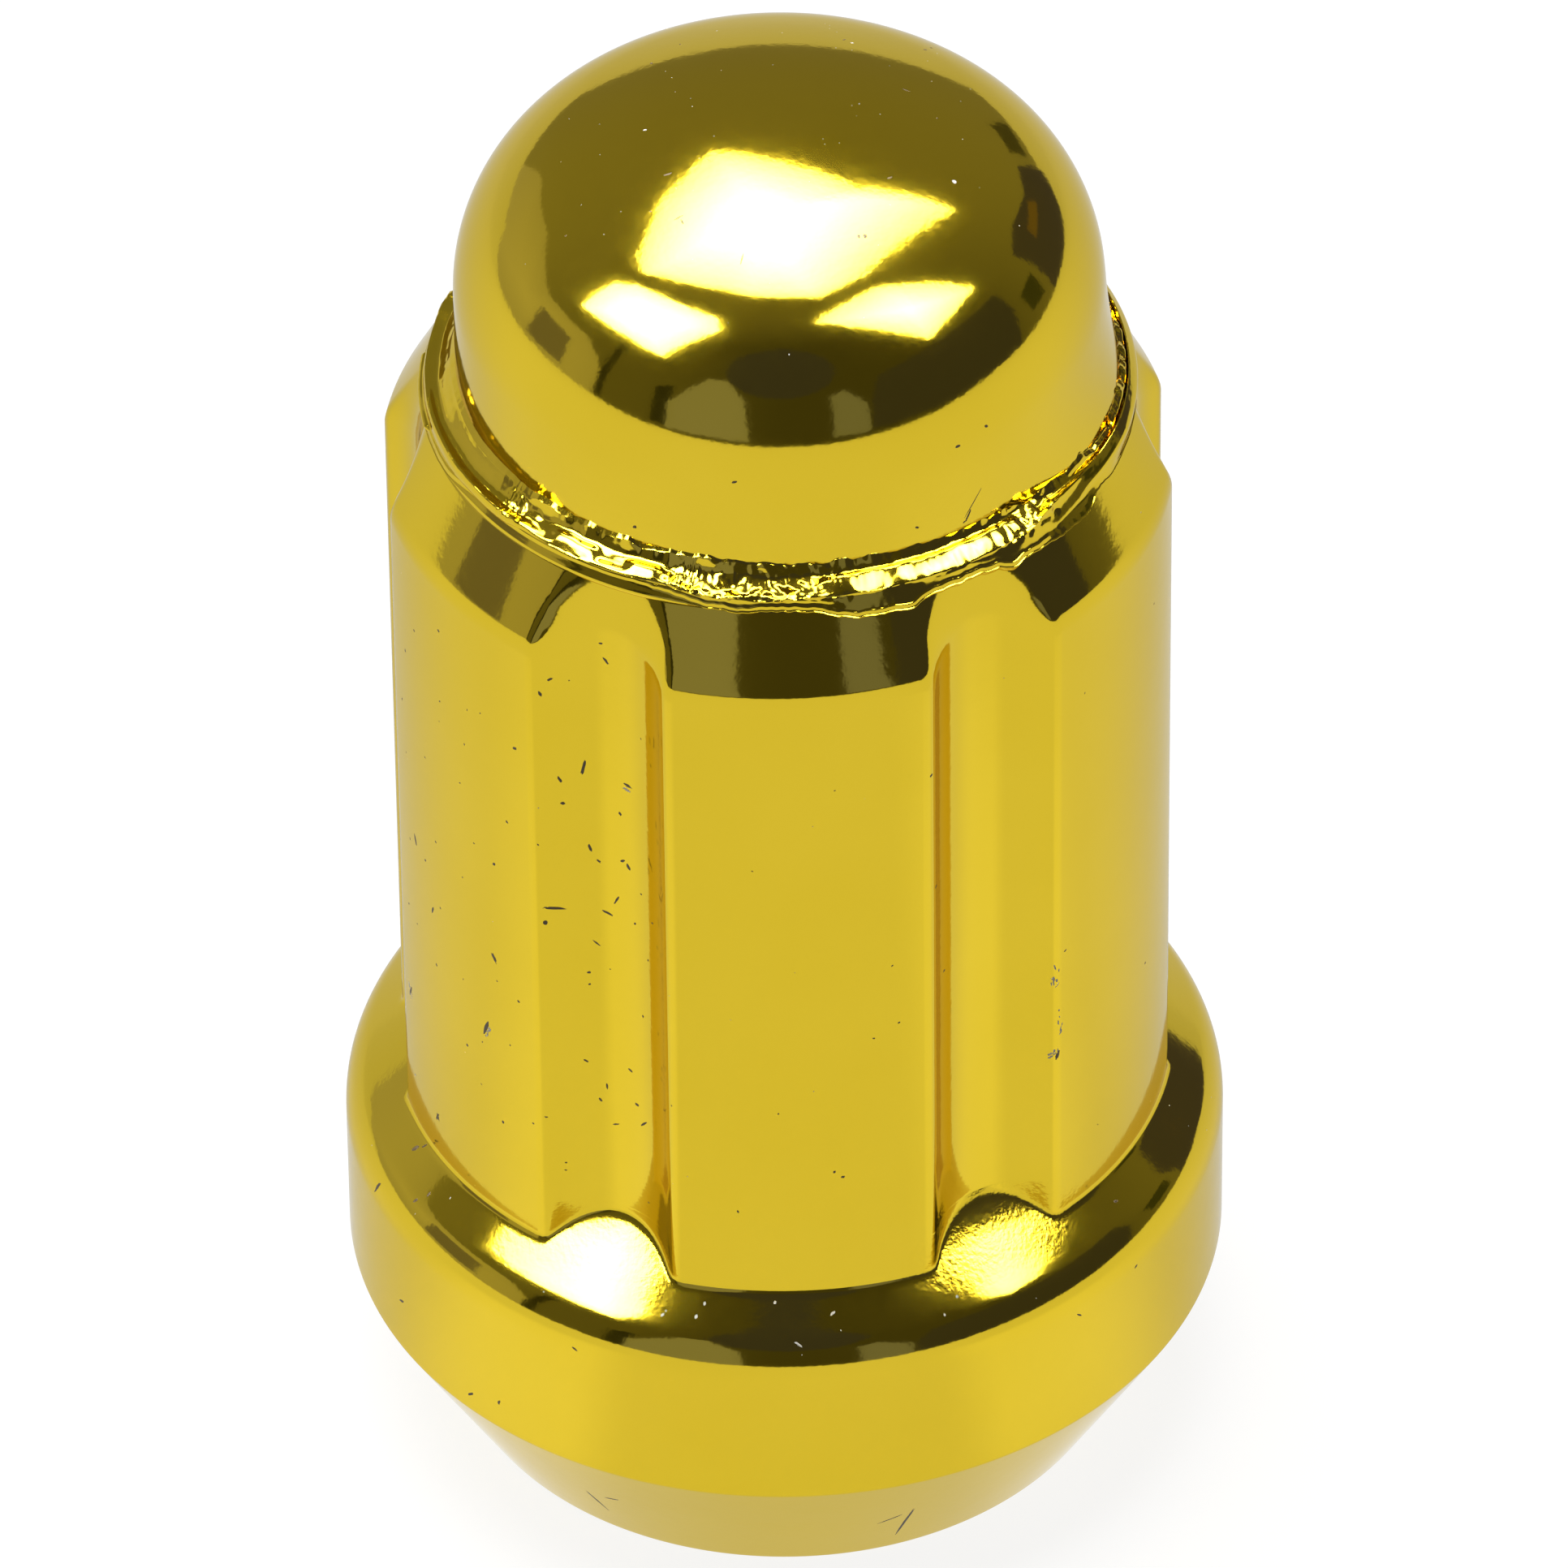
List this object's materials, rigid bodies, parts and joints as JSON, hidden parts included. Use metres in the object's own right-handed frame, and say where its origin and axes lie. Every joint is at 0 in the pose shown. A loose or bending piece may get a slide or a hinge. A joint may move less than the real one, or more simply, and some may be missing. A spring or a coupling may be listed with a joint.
{
  "type": "lug nut",
  "caption": "Closed-end spline-drive lug nut with a domed cap, round flutes, a bulged seat flange and a 60 degree cone seat, in gold-tinted plating.",
  "frame": {"origin": "centre of the open end's flat annulus, on the thread axis, which is the bottom centre of the box", "axes": "+Z along the thread axis, from the open cone end towards the domed cap; the middle of one land faces -Y"},
  "size_m": [0.0234, 0.0234, 0.042],
  "materials": {
    "gold_plate": "bright plating with a gold-tinted clear lacquer"
  },
  "bodies": {
    "root": {"nut_body": "gold_plate", "dome_cap": "gold_plate"}
  },
  "joints": []
}
